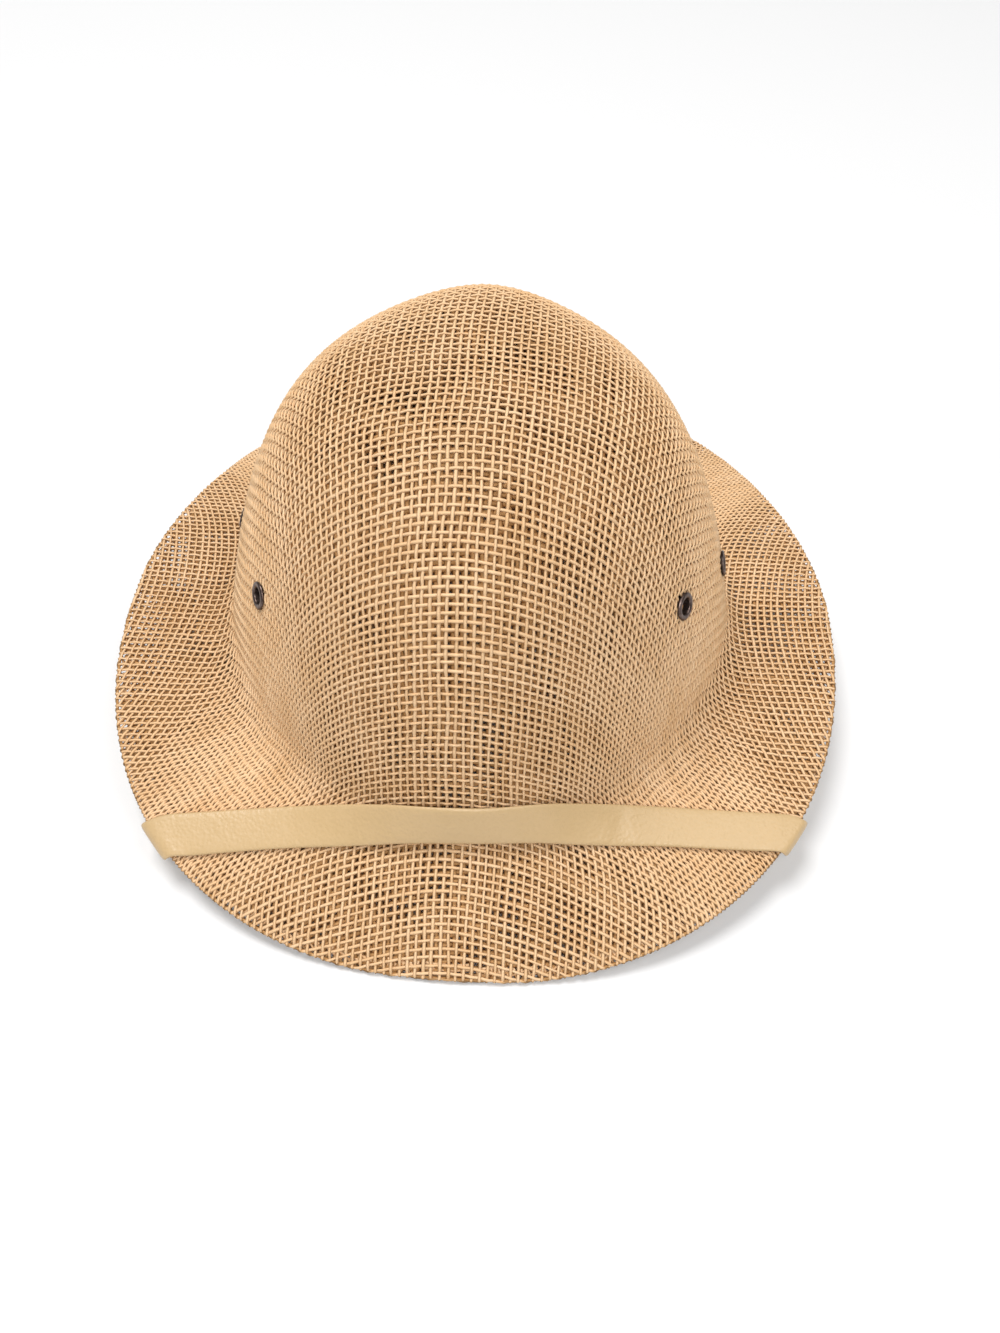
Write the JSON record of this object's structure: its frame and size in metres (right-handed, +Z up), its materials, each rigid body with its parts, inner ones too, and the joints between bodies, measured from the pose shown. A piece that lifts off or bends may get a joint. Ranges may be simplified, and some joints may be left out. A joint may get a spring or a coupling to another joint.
{
  "type": "pith helmet",
  "caption": "Pith helmet of pressed straw mesh with a tall ridged crown, a brim arched up at the sides, metal vent eyelets and a flat chin strap worn over the front.",
  "frame": {"origin": "on the ground that the hat rests on, under the middle of the brim's length and width", "axes": "+Z up, -Y towards the front of the hat, +X towards the right of someone who faces the hat's front"},
  "size_m": [0.28, 0.33, 0.1498],
  "materials": {
    "straw": "matt woven straw",
    "strap": "satin, fine grain",
    "eyelet": "dark gunmetal"
  },
  "bodies": {
    "root": {"shell": "straw", "chin_strap": "strap", "eyelet_front_left": "eyelet", "eyelet_front_right": "eyelet", "eyelet_rear_left": "eyelet", "eyelet_rear_right": "eyelet"}
  },
  "joints": []
}
